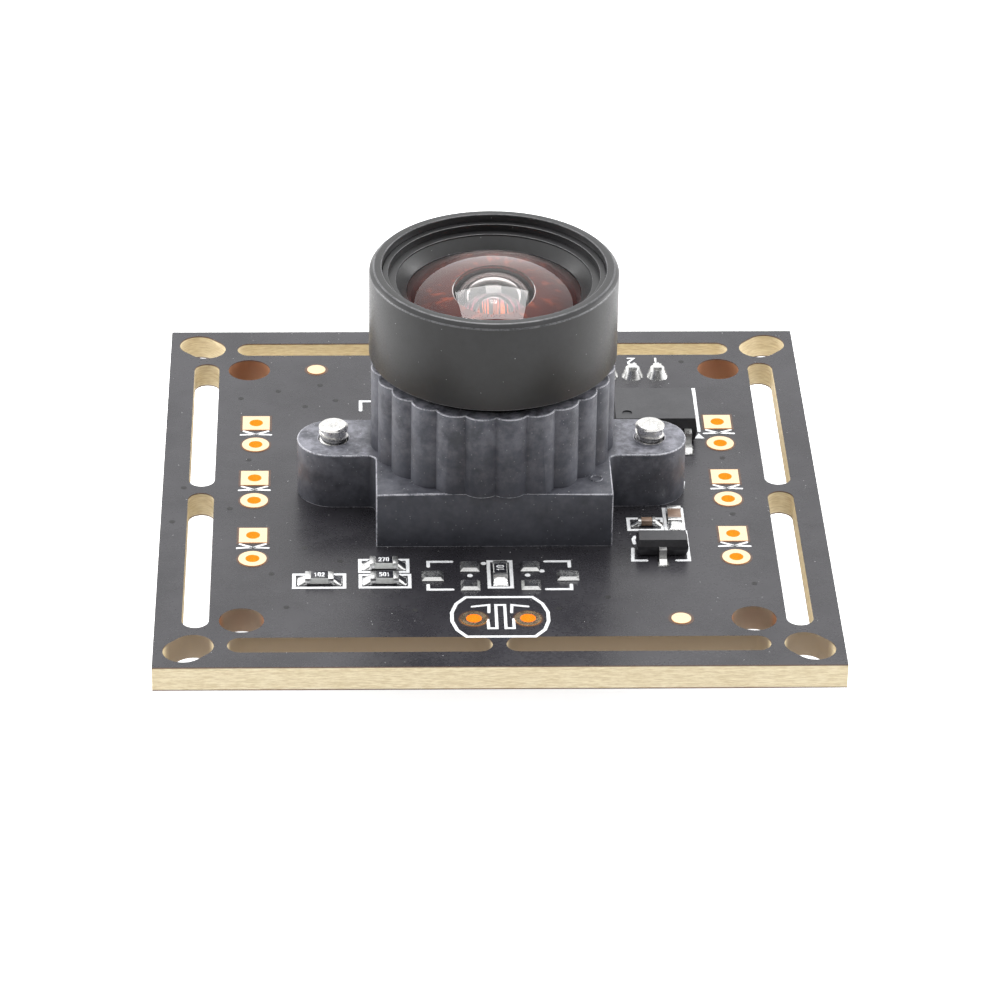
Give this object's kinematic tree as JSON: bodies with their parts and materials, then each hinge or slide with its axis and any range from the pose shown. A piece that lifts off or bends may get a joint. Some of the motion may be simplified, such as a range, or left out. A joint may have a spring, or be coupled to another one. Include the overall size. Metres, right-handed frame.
{
  "type": "board camera module",
  "caption": "Square circuit board with a screw-in wide-angle lens in a fluted moulded mount, small chip parts, a wire-to-board connector underneath and a snap-off outer frame.",
  "frame": {"origin": "centre of the circuit board's underside, on the lens axis", "axes": "+Z along the lens axis, out of the lens; -Y towards the board edge with the light sensor's footprint; +X towards the connector's side of the board"},
  "size_m": [0.038, 0.038, 0.0203],
  "materials": {
    "board_mask": "charcoal solder mask, satin",
    "gold": "thin gold plating",
    "solder": "bright solder",
    "tinned_leads": "tin-plated leads",
    "resistor_black": "glazed black top",
    "chip_ceramic": "plain ceramic",
    "package_black": "moulded epoxy",
    "mount_plastic": "moulded, slightly dusty",
    "screw_steel": "nickel-plated",
    "lens_black": "satin black anodised",
    "inner_black": "matt black",
    "coated_glass": "anti-reflective coating with a red-brown glow",
    "filter_glass": "infrared filter",
    "clear_glass": "clear",
    "sensor_package": "matt brown",
    "silicon": "polished silicon",
    "connector_plastic": "natural nylon"
  },
  "bodies": {
    "module": {"circuit_board": "board_mask", "lamp_pads": "gold", "light_sensor_pads": "gold", "fiducials": "gold", "empty_pads": "solder", "left_resistor": "resistor_black", "upper_resistor": "resistor_black", "lower_resistor": "resistor_black", "centre_resistor": "resistor_black", "small_capacitor": "chip_ceramic", "large_capacitor": "chip_ceramic", "chip_solder": "solder", "transistor": "package_black", "transistor_leads": "tinned_leads", "memory_chip": "package_black", "memory_leads": "tinned_leads", "lead_solder": "solder", "lens_mount": "mount_plastic", "ear_screws": "screw_steel", "infrared_filter": "filter_glass", "image_sensor": "sensor_package", "sensor_die": "silicon", "sensor_glass": "clear_glass", "connector_housing": "connector_plastic", "connector_pins": "tinned_leads", "pin_solder": "solder", "controller_chip": "package_black", "crystal": "screw_steel", "regulator": "package_black", "regulator_leads": "tinned_leads", "bypass_capacitors": "chip_ceramic", "bypass_solder": "solder"},
    "lens": {"lens_barrel": "lens_black", "front_ring": "lens_black", "front_element": "coated_glass", "front_spacer": "inner_black", "middle_element": "coated_glass", "stop_spacer": "inner_black", "aperture_stop": "inner_black", "rear_spacer": "inner_black", "rear_element": "coated_glass"}
  },
  "joints": [
    {"name": "lens_focus", "type": "hinge", "parent": "module", "child": "lens", "pos_m": [0, 0, 0.0135], "axis": [0, 0, 1], "range_deg": [-360, 360]}
  ]
}
